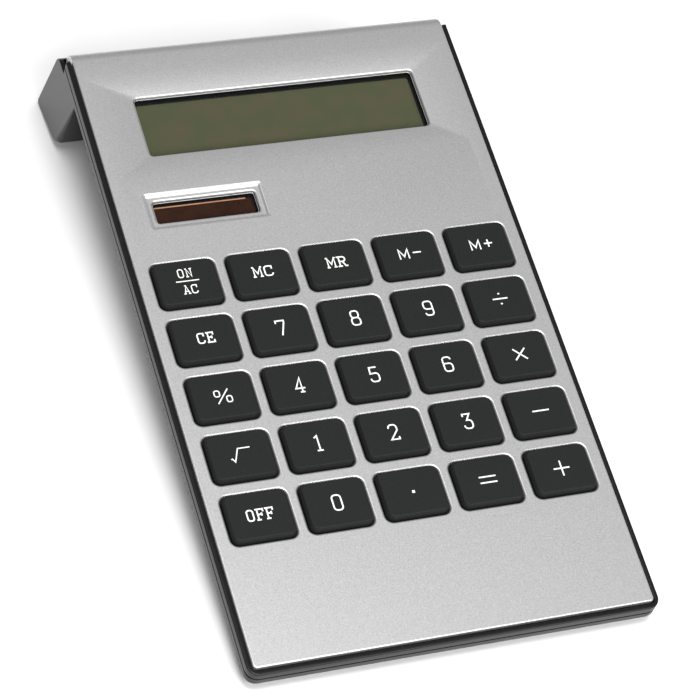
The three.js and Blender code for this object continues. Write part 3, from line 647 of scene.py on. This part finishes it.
# %% The hand: strokes on a grid six units wide and ten high; True closes a stroke
SIGNS = {
    "0": [(True, (0.5, 0.5, 1.9), (5.5, 0.5, 1.9), (5.5, 9.5, 1.9), (0.5, 9.5, 1.9))],
    "1": [(False, (1.4, 8.3), (3.2, 9.5), (3.2, 0.5)), (False, (1.5, 0.5), (4.9, 0.5))],
    "2": [(False, (0.6, 7.4), (0.6, 9.5, 1.9), (5.3, 9.5, 1.9), (5.3, 6.0, 1.2), (0.7, 0.5), (5.5, 0.5),
           (5.5, 2.0))],
    "3": [(False, (0.8, 8.0), (0.8, 9.5), (5.0, 9.5), (2.6, 5.7), (5.4, 5.7, 1.9), (5.4, 0.5, 1.9),
           (0.5, 0.5, 1.9), (0.5, 2.6))],
    "4": [(False, (5.8, 2.9), (0.5, 2.9), (3.9, 9.5), (3.9, 0.5)), (False, (2.6, 0.5), (5.2, 0.5))],
    "5": [(False, (5.1, 9.5), (1.0, 9.5), (0.8, 5.6), (5.5, 5.9, 1.8), (5.5, 0.5, 1.8), (0.5, 0.5, 1.8),
           (0.5, 2.5))],
    "6": [(False, (5.2, 7.9), (5.2, 9.5, 1.6), (0.5, 9.5, 1.8), (0.5, 0.5, 1.8), (5.5, 0.5, 1.8),
           (5.5, 5.5, 1.8), (0.5, 5.5))],
    "7": [(False, (0.6, 7.9), (0.6, 9.5), (5.4, 9.5), (5.4, 8.3), (2.7, 0.2))],
    "8": [(True, (0.5, 0.5, 1.7), (5.5, 0.5, 1.7), (5.5, 5.2, 1.7), (0.5, 5.2, 1.7)),
          (True, (0.8, 5.2, 1.6), (5.2, 5.2, 1.6), (5.2, 9.5, 1.6), (0.8, 9.5, 1.6))],
    "9": [(False, (0.8, 2.1), (0.8, 0.5, 1.6), (5.5, 0.5, 1.8), (5.5, 9.5, 1.8), (0.5, 9.5, 1.8),
           (0.5, 4.5, 1.8), (5.5, 4.5))],
    "O": [(True, (0.9, 0.6, 1.8), (5.1, 0.6, 1.8), (5.1, 9.4, 1.8), (0.9, 9.4, 1.8))],
    "N": [(False, (1.3, 0.6), (1.3, 9.4), (4.9, 0.6), (4.9, 9.4)), (False, (0.2, 0.6), (2.4, 0.6)),
          (False, (0.2, 9.4), (1.6, 9.4)), (False, (3.8, 9.4), (6.0, 9.4))],
    "A": [(False, (1.0, 0.6), (3.0, 9.2), (5.0, 0.6)), (False, (1.6, 3.2), (4.4, 3.2)),
          (False, (0.0, 0.6), (2.1, 0.6)), (False, (3.9, 0.6), (6.0, 0.6)),
          (False, (1.7, 9.4), (3.2, 9.4))],
    "C": [(False, (5.2, 7.0), (5.2, 9.4, 1.4), (0.8, 9.4, 1.8), (0.8, 0.6, 1.8), (5.4, 0.6, 1.8),
           (5.4, 2.8)), (False, (5.2, 9.8), (5.2, 6.6))],
    "E": [(False, (5.3, 7.2), (5.3, 9.4), (0.2, 9.4)), (False, (1.5, 9.4), (1.5, 0.6)),
          (False, (0.2, 0.6), (5.6, 0.6), (5.6, 2.9)), (False, (1.5, 5.1), (4.2, 5.1)),
          (False, (4.0, 6.3), (4.0, 3.9))],
    "F": [(False, (5.5, 7.2), (5.5, 9.4), (0.2, 9.4)), (False, (1.5, 9.4), (1.5, 0.6)),
          (False, (0.2, 0.6), (3.2, 0.6)), (False, (1.5, 5.0), (4.3, 5.0)),
          (False, (4.2, 6.3), (4.2, 3.8))],
    "R": [(False, (1.4, 0.6), (1.4, 9.4)),
          (False, (0.1, 9.4), (5.0, 9.4, 1.7), (5.0, 5.0, 1.7), (1.4, 5.0)),
          (False, (0.1, 0.6), (2.7, 0.6)), (False, (3.2, 5.0), (4.7, 0.6), (6.1, 0.6))],
    "M": [(False, (0.9, 0.6), (0.9, 9.4), (3.0, 3.4), (5.1, 9.4), (5.1, 0.6)),
          (False, (0.0, 0.6), (1.8, 0.6)), (False, (4.2, 0.6), (6.0, 0.6)), (False, (0.0, 9.4), (1.2, 9.4)),
          (False, (4.8, 9.4), (6.0, 9.4))],
    "m": [(False, (0.6, 0.4), (0.6, 9.3), (3.0, 2.6), (5.4, 9.3), (5.4, 0.4))],
}
print(len(SIGNS), "signs in the hand")


# %% Signs, words and bars
def sign(name, left, foot, width, height):
    """A sign's strokes as lines in millimetres: its grid stretched to the given width and height."""
    scale = np.array([width / 6, height / 10])
    drawn = []
    for closed, *corners in SIGNS[name]:
        placed = [(left + x * scale[0], foot + y * scale[1], *[r * scale.mean() for r in radius])
                  for x, y, *radius in corners]
        drawn.append((closed, rounded_line(placed)))
    return drawn


def word(letters, width, height, foot=None, pitch=None, middle=0.0):
    """Signs side by side, centred on the key; pitch is the distance from one sign to the next."""
    pitch = pitch or width
    left = middle - (pitch * (len(letters) - 1) + width) / 2
    foot = -height / 2 if foot is None else foot
    return [stroke for k, letter in enumerate(letters)
            for stroke in sign(letter, left + k * pitch, foot, width, height)]


def bar(x0, y0, x1, y1):
    """One straight stroke from (x0, y0) to (x1, y1)."""
    return [(False, np.array([(x0, y0), (x1, y1)], float))]


# %% What stands on each key: strokes and the pen's width in millimetres
PEN = 0.38
BOLD = 0.37            # for words
FINE = 0.3             # for the root and percent signs
NUMERAL = (2.65, 4.5)  # a sign's width and height
CAPITAL = (2.6, 3.1)
SMALL = (1.8, 2.6)
MEMORY = (3.0, 3.2)
RING = np.array([(-0.66, -0.82), (0.66, -0.82), (0.66, 0.82), (-0.66, 0.82)])
RING_ROUND = 0.5
ROOT = np.array([(-2.8, -1.1), (-2.5, -0.95), (-1.95, -1.85), (-0.55, 1.7), (2.5, 1.7)])
percent_rings = [(True, rounded_line([(*corner, RING_ROUND) for corner in RING + middle]))
                 for middle in ((-1.5, 0.65), (1.3, -1.1))]
LEGENDS = {digit: (word(digit, *NUMERAL), PEN) for digit in "0123456789"}
LEGENDS |= {
    "on_clear": (word("ON", *SMALL, 1.15, 2.1, middle=-0.3) + bar(-3.1, 0.15, 2.85, 0.15)
                 + word("AC", *SMALL, -3.65, 2.0), 0.28),
    "memory_clear": (word("MC", *CAPITAL, -1.4, 2.85), BOLD),
    "memory_recall": (word("MR", *CAPITAL, -1.4, 2.85), BOLD),
    "clear_entry": (word("CE", 2.1, 3.1, pitch=2.4), BOLD),
    "off": (word("OFF", 2.15, 3.2, pitch=2.4), BOLD),
    "memory_minus": (word("m", *MEMORY, middle=-1.45) + bar(1.0, 0.1, 3.2, 0.1), PEN),
    "memory_plus": (word("m", *MEMORY, middle=-1.45) + bar(1.0, 0.1, 3.2, 0.1)
                    + bar(2.1, -1.0, 2.1, 1.2), PEN),
    "divide": (bar(-2.0, 0, 2.0, 0) + bar(-0.25, 1.5, 0.25, 1.5) + bar(-0.25, -1.5, 0.25, -1.5), PEN),
    "multiply": (bar(-1.6, -1.6, 1.6, 1.6) + bar(-1.6, 1.6, 1.6, -1.6), PEN),
    "minus": (bar(-2.2, 0, 2.2, 0), PEN),
    "plus": (bar(-2.1, 0, 2.1, 0) + bar(0, -2.1, 0, 2.1), PEN),
    "equals": (bar(-2.2, 0.8, 2.2, 0.8) + bar(-2.2, -0.8, 2.2, -0.8), PEN),
    "point": (bar(-0.35, -0.2, 0.35, -0.2), 0.7),
    "square_root": ([(False, ROOT)], FINE),
    "percent": (bar(-1.75, -2.15, 1.45, 1.75) + percent_rings, FINE),
}
print(len(LEGENDS), "legends to print")

# %% Print the legends
INK_FILM = 0.03        # the film's thickness
INK_STEP = 0.004       # each stroke is this much thicker than the one before
INK_SUNK = 0.02        # the strokes start this far below the key's top
for name, (strokes, width) in LEGENDS.items():
    patches = []
    for k, (closed, line) in enumerate(strokes):
        top = KEY_HEIGHT + INK_FILM + INK_STEP * k
        patches += ribbon(line + node_middle("key_" + name), width, KEY_HEIGHT - INK_SUNK, top, closed)
    fit(shell("legend_" + name, patches), INK, "key_" + name)

# %% [markdown]
# ## The black rim
# The thin black rim round the plate is the top edge of a middle frame, which carries the plate on a ledge.
# It could be an inset of the case, but the real seam below it is a shadow groove between two mouldings. So
# it is a piece of its own: one profile along a U, with four screw bosses and a crossbar under the roll.

# %% Middle frame
FRAME_LOW, FRAME_HIGH = slab_box("middle_frame")
CASE_HALF = FRAME_HIGH[0]
CASE_FRONT = FRAME_LOW[1]
FRAME_REAR = FRAME_HIGH[1]
RIM_TOP = -0.5
RIM_WIDTH = 1.2
RIM_ROUND = 0.35       # rounding of the rim's outer edge
RIM_BREAK = 0.12       # rounding of its inner edge
LEDGE_TOP = -1.7
LEDGE_WIDTH = 3.9
PARTING_TOP = -2.6     # upper side of the shadow groove
CASE_CORNER = 3.0
frame_section = profile((0, PARTING_TOP), arc((RIM_ROUND, RIM_TOP - RIM_ROUND), RIM_ROUND, 180, 90),
                        arc((RIM_WIDTH - RIM_BREAK, RIM_TOP - RIM_BREAK), RIM_BREAK, 90, 0, 2),
                        (RIM_WIDTH, LEDGE_TOP), (LEDGE_WIDTH, LEDGE_TOP), (LEDGE_WIDTH, PARTING_TOP))
frame_corner = np.interp(frame_section[:, 0], [0, RIM_WIDTH, LEDGE_WIDTH], [CASE_CORNER, 1.3, 0.4])
frame_u = u_path(CASE_HALF, CASE_FRONT, FRAME_REAR, frame_corner, frame_section)
frame_loop = np.swapaxes(frame_u, 0, 1)
print("rim", RIM_WIDTH, "mm wide on a ledge to", LEDGE_WIDTH, "mm")

# %% Its screw bosses and crossbar
SCREWS = [node_middle("case_screw_" + place)
          for place in ("front_left", "front_right", "rear_left", "rear_right")]
SCREW_PAD_TOP = -6.3
BOSS = (5, 5, 2.5)     # width, depth and corner: a round post
CROSSBAR = (2 * (CASE_HALF - LEDGE_WIDTH), 4, 0.1)
boss_levels = [(*BOSS, SCREW_PAD_TOP + 0.3), (*BOSS, LEDGE_TOP - 0.1)]
bosses = [patch for place in SCREWS for patch in closed_box(boss_levels, place)]
crossbar = closed_box([(*CROSSBAR, PARTING_TOP), (*CROSSBAR, LEDGE_TOP)],
                      (0, FRAME_REAR - CROSSBAR[1] / 2), 1)
middle_frame = shell("black_middle_frame", [sheet(frame_loop, around=True), lid(frame_loop[0]),
                                            lid(frame_loop[-1]), *bosses, *crossbar])
fit(middle_frame, FINISHES["black_abs"], stands_for=["middle_frame"])

# %% [markdown]
# ## The case and its foot
# Below the groove the bottom case turns in under itself and, at the rear, down into a hollow leaning foot,
# all in one moulding. One mesh could be pushed and pulled into both, but a moulding that is two simple
# shapes at once is easiest as their union: a tray, and the foot's side view carried across the slab.
# Booleans then hollow it and open it for the battery door and the screws.

# %% Side views carried across
def carried_across(outline, half, radius):
    """A closed side view (y, z) carried from -half to half, with both ends rounded.

    Over its last radius millimetres the outline moves in along its own normals by radius (1 - cos t) while
    x moves on by radius sin t. The radius may differ from point to point of the outline."""
    ahead = np.roll(outline, -1, axis=0) - outline
    ahead /= np.hypot(*ahead.T)[:, None]
    behind = np.roll(ahead, 1, axis=0)
    mean = ahead + behind
    mean /= np.hypot(*mean.T)[:, None]
    area = np.sum(outline[:, 0] * np.roll(outline[:, 1], -1) - np.roll(outline[:, 0], -1) * outline[:, 1])
    inward = np.sign(area) * np.stack([-mean[:, 1], mean[:, 0]], axis=-1)
    inward /= np.maximum((mean * ahead).sum(1), 0.4)[:, None]
    angle = np.radians(np.linspace(0, 90, 7))[:, None]
    inset = radius * (1 - np.cos(angle))
    x = half - radius + radius * np.sin(angle)
    moved = outline[None] + inward[None] * inset[:, :, None]
    right = np.concatenate([x[:, :, None], moved], axis=-1)
    left = right[::-1] * np.array([-1, 1, 1])
    whole = np.concatenate([left, right])
    return [sheet(whole, around=True), lid(whole[0]), lid(whole[-1])]


def combined(base, tool, operation):
    """base united with, or cut by, a tool that is thrown away afterwards."""
    cut = base.modifiers.new("cut", "BOOLEAN")
    cut.operation = operation
    cut.solver = "EXACT"
    cut.object = tool
    bpy.context.view_layer.update()
    cut_mesh = bpy.data.meshes.new_from_object(base.evaluated_get(bpy.context.evaluated_depsgraph_get()))
    base.modifiers.clear()
    base.data = cut_mesh
    bpy.data.objects.remove(tool)
    return base


# %% The foot's side view
WALL = 1.2
UNDERSIDE = -8.4
FLOOR_TOP = -7.1       # the case's floor inside
PARTING_BOTTOM = -3.1  # lower side of the shadow groove
LEAN = math.radians(13.2)
HEEL = np.array([115.7, -33.6])
HEEL_ROUND = 0.8
SHOULDER_ROUND = 3.4
TOE_ROUND = 4.0
FOOT_DEPTH = 18.4      # along the sole
REAR_TOP = -5.2        # the foot's rear wall ends here, behind the rolled plate
HOLLOW_TOP = 5         # the foot's hollow is carried up to here, clear of the case
HOLLOW_REACH = 3       # and this far forward of the foot's front face
FRONT_BLEND = 3.5      # over this depth the end's rounding changes from the side's to the front's
SIDE_ROUND = 0.3


def foot_point(depth, height):
    """A point of the leaning foot: depth forward from its rear face, height up along its lean."""
    return HEEL + depth * np.array([-math.cos(LEAN), math.sin(LEAN)]) \
        + height * np.array([-math.sin(LEAN), math.cos(LEAN)])


def foot_at(depth, level):
    """Where the face at that depth crosses a level of the slab."""
    start = foot_point(depth, 0)
    return foot_point(depth, (level - start[1]) / math.cos(LEAN))


roll_back = FRAME_REAR + 0.3      # the foot's shoulder reaches forward to just behind the frame
hollow_front = foot_at(FOOT_DEPTH, FLOOR_TOP)[0] - HOLLOW_REACH
foot_outside = rounded_line([
    (*foot_point(0, 0), HEEL_ROUND), (*foot_at(0, REAR_TOP), SHOULDER_ROUND), (roll_back, REAR_TOP),
    (roll_back, PARTING_BOTTOM), tuple(foot_at(FOOT_DEPTH, PARTING_BOTTOM)),
    (*foot_point(FOOT_DEPTH, 0), TOE_ROUND)], steps=8)
foot_inside = rounded_line([
    (*foot_point(WALL, WALL), HEEL_ROUND / 2), tuple(foot_at(WALL, HOLLOW_TOP)),
    (hollow_front, HOLLOW_TOP), (hollow_front, FLOOR_TOP), tuple(foot_at(FOOT_DEPTH - WALL, FLOOR_TOP)),
    (*foot_point(FOOT_DEPTH - WALL, WALL), TOE_ROUND - WALL)], steps=6)
print("foot outline of", len(foot_outside), "points")

# %% How round its ends are: crisp at the side, softer where the front face turns the corner
depth_of = (HEEL - foot_outside) @ np.array([math.cos(LEAN), -math.sin(LEAN)])
on_front = np.interp(depth_of, [FOOT_DEPTH - FRONT_BLEND, FOOT_DEPTH - 0.5], [0, 1])
# The front corner is roundest at the toe, even above it, and as crisp as the side where it meets the case.
LEVELS = [-28, -24, -12, -9]
ADDED = [1.3, 0.8, 0.8, 0]
foot_round = SIDE_ROUND + on_front * np.interp(foot_outside[:, 1], LEVELS, ADDED)
print(f"end rounding {foot_round.min():.1f} to {foot_round.max():.1f} mm")

# %% The tray's outside
BEVEL_TOP = -4.5
BEVEL_INSET = 2.6
BEVEL_NORMAL = 213     # the direction that the turned-in side faces, in degrees
UNDER_ROUND = 0.5
SIDE_CURVE = 1.5       # radius where the side turns in
GROOVE_BREAK = 0.12
rear_of_tray = foot_at(FOOT_DEPTH, UNDERSIDE)[0] + 2
tray_length = rear_of_tray - CASE_FRONT + CASE_CORNER
tray_profile = profile(
    arc((BEVEL_INSET + UNDER_ROUND, UNDERSIDE + UNDER_ROUND), UNDER_ROUND, 270, BEVEL_NORMAL, 4),
    arc((SIDE_CURVE, BEVEL_TOP - 0.1), SIDE_CURVE, BEVEL_NORMAL, 180, 4),
    (0, PARTING_BOTTOM - GROOVE_BREAK), (GROOVE_BREAK, PARTING_BOTTOM))
case_levels = moulded((2 * CASE_HALF, tray_length), CASE_CORNER, tray_profile)
case = shell("black_bottom_case", closed_box(case_levels, (0, CASE_FRONT + tray_length / 2), 8))

# %% Tray and foot united
CUT_OFF = (130, 20, 0.1)      # takes away the tray's own rear corners
cut_off = shell("cut_off", closed_box([(*CUT_OFF, -20), (*CUT_OFF, 1)],
                                      (0, rear_of_tray + CUT_OFF[1] / 2), 1))
case = combined(case, cut_off, "DIFFERENCE")
case = combined(case, shell("foot", carried_across(foot_outside, CASE_HALF, foot_round)), "UNION")

# %% Hollow both
inner_length = rear_of_tray + 1 - CASE_FRONT
hollow = np.array([2 * CASE_HALF - 2 * WALL, inner_length - 2 * WALL])
hollow_corner = CASE_CORNER - WALL
hollow_levels = [(*(hollow - 2 * BEVEL_INSET), 1.0, FLOOR_TOP), (*hollow, hollow_corner, BEVEL_TOP),
                 (*hollow, hollow_corner, 1)]
inside = shell("inside", closed_box(hollow_levels, (0, CASE_FRONT + inner_length / 2)))
case = combined(case, inside, "DIFFERENCE")
foot_ends = np.full(len(foot_inside), SIDE_ROUND)
foot_hollow = shell("foot_hollow", carried_across(foot_inside, CASE_HALF - WALL, foot_ends))
case = combined(case, foot_hollow, "DIFFERENCE")

# %% Open it for the battery door and the screws
DOOR_HOLE = (17, 17, 1.5)
SCREW_PAD = (7, 7, 3.5)
HEAD_BORE = (5.2, 5.2, 2.6)
SHANK_BORE = (2.6, 2.6, 1.3)
HEAD_TOP = UNDERSIDE + 1.2
door_hole = closed_box([(*DOOR_HOLE, UNDERSIDE - 1), (*DOOR_HOLE, FLOOR_TOP + 1)],
                       node_middle("battery_door"))
case = combined(case, shell("door_hole", door_hole), "DIFFERENCE")
for place in SCREWS:
    pad = closed_box([(*SCREW_PAD, FLOOR_TOP - 0.4), (*SCREW_PAD, SCREW_PAD_TOP)], place)
    case = combined(case, shell("pad", pad), "UNION")
    bore = closed_box([(*HEAD_BORE, UNDERSIDE - 1), (*HEAD_BORE, HEAD_TOP), (*SHANK_BORE, HEAD_TOP),
                       (*SHANK_BORE, SCREW_PAD_TOP + 1)], place)
    case = combined(case, shell("bore", bore), "DIFFERENCE")

# %% Shade and fit the case
case.data.set_sharp_from_angle(angle=math.radians(30))
shading = case.modifiers.new("even shading", "WEIGHTED_NORMAL")
shading.keep_sharp = True
fit(case, FINISHES["black_abs"], stands_for=["bottom_case"])
print("case", len(case.data.polygons), "faces")

# %% [markdown]
# ## Behind the openings
# Through each opening the eye passes a thin silver trim ring on a black holder, then the clear window, then
# a black mask printed on its underside, and lands on the display glass or the brown solar film. The ring is
# the fine bright line inside the opening, and the holder and the mask make the dark band along the far
# edges. The mask is partly a printed border and partly painted shade: along the rear and right edges it
# reaches further in, where the well behind the walls lies in shade. All of it could be painted on the
# window, but then the band wouldn't shift as the eye moves.

# %% Holders and trim rings: one round-topped rim, low for the holder and high for the trim
RIM_GAP = 0.14         # between the opening's wall and the rim
RIM_CROWN = 0.08       # the rim's top is a half circle of this radius
HOLDER_LOW = -1.66     # just above the window
TRIM_SHOWS = 0.12      # how far the trim stands above the holder
TRIM_HEIGHT = 0.2


def inner_rim(name, size, corner, centre, low, high):
    """A thin round-topped rim that stands a small gap inside an opening, from low to high."""
    section = profile((RIM_GAP, low),
                      arc((RIM_GAP + RIM_CROWN, high - RIM_CROWN), RIM_CROWN, 180, 0, 6),
                      (RIM_GAP + 2 * RIM_CROWN, low))
    ring = rings(moulded(size, corner, section), centre)
    return shell(name, [sheet(np.concatenate([ring, ring[:1]]), around=True)])


for name, size, corner, centre, top in (("display", display_size, DISPLAY_CORNER, display_centre, -1.25),
                                        ("solar", SOLAR_OPENING, SOLAR_CORNER, SOLAR_CENTRE, -1.38)):
    black = inner_rim(name + "_holder", size, corner, centre, HOLDER_LOW, top - TRIM_SHOWS)
    fit(black, GLOSS_BLACK)
    bright = inner_rim(name + "_trim", size, corner, centre, top - TRIM_HEIGHT, top)
    fit(bright, FINISHES["silver_paint"])

# %% Masks: printed black borders that reach further in at the far edges as painted shade
MASK_TOP = -2.53       # on the window's underside
MASK_FILM = 0.04
MASK_CORNERS = (0.8, 0.9)     # of its outline and of the window in it


def mask(name, window_x, window_y, centre, size):
    """A black frame on the window's underside: two level sheets with a rounded window in them, and the walls
    between. Part of it is the printed border, and what reaches further in at the far edges is painted shade.
    """
    window = (np.ptp(window_x), np.ptp(window_y))
    levels = (MASK_TOP, MASK_TOP - MASK_FILM)
    outer = rings([(*size, MASK_CORNERS[0], level) for level in levels], centre)
    inner = rings([(*window, MASK_CORNERS[1], level) for level in levels],
                  (np.mean(window_x), np.mean(window_y)))
    return shell(name, [level_sheet([outer[0], inner[0]]), level_sheet([outer[1], inner[1]]),
                        sheet(outer, around=True), sheet(inner, around=True)])


# Its window is 0.4 mm inside the opening at the front and 0.6 mm at the left, but 1.1 mm at the rear and 0.95 mm
# at the right: that extra black is painted shade.
display_border_and_painted_shade = mask("display_border_and_painted_shade", (-37.4, 37.05), (72.4, 88.9), display_centre, display_size + 3.4)
fit(display_border_and_painted_shade, GLOSS_BLACK)
# Its window is 0.3 mm inside the opening at the front and left, but 0.65 mm at the rear and 0.6 mm at the right:
# that extra black is painted shade.
solar_border_and_painted_shade = mask("solar_border_and_painted_shade", (-41.0, -14.7), (52.2, 57.85), SOLAR_CENTRE, SOLAR_OPENING + 2.6)
fit(solar_border_and_painted_shade, GLOSS_BLACK)

# %% [markdown]
# ## The solar cell's bus bar
# Along the cell's rear runs one printed copper line, which joins its strips. It could be a stripe in the
# film's colour, but its edge would blur at the pattern's own scale, so it is a film of its own.

# %% Bus bar
BUS = (24.6, 0.36, 0.17)      # length, width and corner
BUS_PLACE = (-28.6, 57.75)
cell_top = slab_box("solar_cell")[1][2]
bus = closed_box([(*BUS, cell_top + 0.01), (*BUS, cell_top + 0.05)], BUS_PLACE)
fit(shell("solar_bus_bar", bus), COPPER)

# %% [markdown]
# ## The camera
# The eye is where someone standing at the desk would have it, a little to the left, looking down at the
# calculator with the head tilted. A long lens keeps the far end nearly as wide as the near one. The camera
# could be parented to an empty; three angles and a distance say the same with nothing to keep in step.

# %% Camera
AIM = Vector((-3.4873, -15.0406, 19.2316)) * MM
DISTANCE = 0.7687      # metres
AZIMUTH = math.radians(30.032)
DOWN = math.radians(48.660)
ROLL = math.radians(15.684)
FOCAL_LENGTH = 161.29  # millimetres, as the sensor's width
SENSOR_WIDTH = 36
forward = Vector((math.sin(AZIMUTH) * math.cos(DOWN), math.cos(AZIMUTH) * math.cos(DOWN), -math.sin(DOWN)))
level = forward.cross(Vector((0, 0, 1))).normalized()
right = level * math.cos(ROLL) + level.cross(forward) * math.sin(ROLL)
camera = bpy.data.objects.new("camera", bpy.data.cameras.new("camera"))
camera.data.lens = FOCAL_LENGTH
camera.data.sensor_width = SENSOR_WIDTH
camera.matrix_world = Matrix.Translation(AIM - forward * DISTANCE) @ Matrix(
    (right, (-forward).cross(right), -forward)).transposed().to_4x4()
bpy.context.scene.collection.objects.link(camera)
bpy.context.scene.camera = camera
print("camera at", [round(value, 4) for value in camera.matrix_world.translation])

# %% [markdown]
# ## The studio
# A broad soft light hangs over the front of the desk, so wide that it mirrors in the whole plate and fades
# towards the display. A smaller one overhead lifts the rear and draws the bright lines along the lips. Two
# lamps could stand at the sides as well, but they would lighten the black case, which has to stay dark; the
# white floor and a weak white surrounding fill the shadows enough.

# %% Lights
def area_light(name, place, width, height, power):
    """A soft light of that width and height in metres at a place, turned to the middle of the scene."""
    lamp = bpy.data.lights.new(name, "AREA")
    lamp.shape = "RECTANGLE"
    lamp.size = width
    lamp.size_y = height
    lamp.energy = power
    softbox = bpy.data.objects.new(name, lamp)
    turn = (-Vector(place)).to_track_quat("-Z", "Y")
    softbox.matrix_world = Matrix.Translation(place) @ turn.to_matrix().to_4x4()
    bpy.context.scene.collection.objects.link(softbox)
    print(f"{name}: {width} x {height} m, {power} W")


area_light("front_softbox", (0.15, -1.3, 1.0), 2.2, 0.8, 30)
area_light("top_softbox", (-0.12, -0.3, 1.6), 0.7, 0.7, 19.5)

# %% Surroundings
SURROUND_STRENGTH = 0.28
world = bpy.data.worlds.new("studio")
bpy.context.scene.world = world
world.use_nodes = True
background = world.node_tree.nodes["Background"]
background.inputs["Color"].default_value = linear("#FFFFFF")
background.inputs["Strength"].default_value = SURROUND_STRENGTH
bpy.context.scene.view_settings.view_transform = "Standard"
print("surroundings at", SURROUND_STRENGTH)

# %% Floor
floor_mesh = bpy.data.meshes.new("floor")
floor_mesh.from_pydata([(-6, -6, 0), (6, -6, 0), (6, 6, 0), (-6, 6, 0)], [], [(0, 1, 2, 3)])
floor = bpy.data.objects.new("floor", floor_mesh)
bpy.context.scene.collection.objects.link(floor)
# Backdrop paper: matt and bleached, with a soft unevenness over a few centimetres.
floor_mesh.materials.append(finish("white backdrop paper", ("#F4F4F4", "#F8F8F8"), 40.0, 2.0, 0.001,
                                   (0.85, 0.95)))
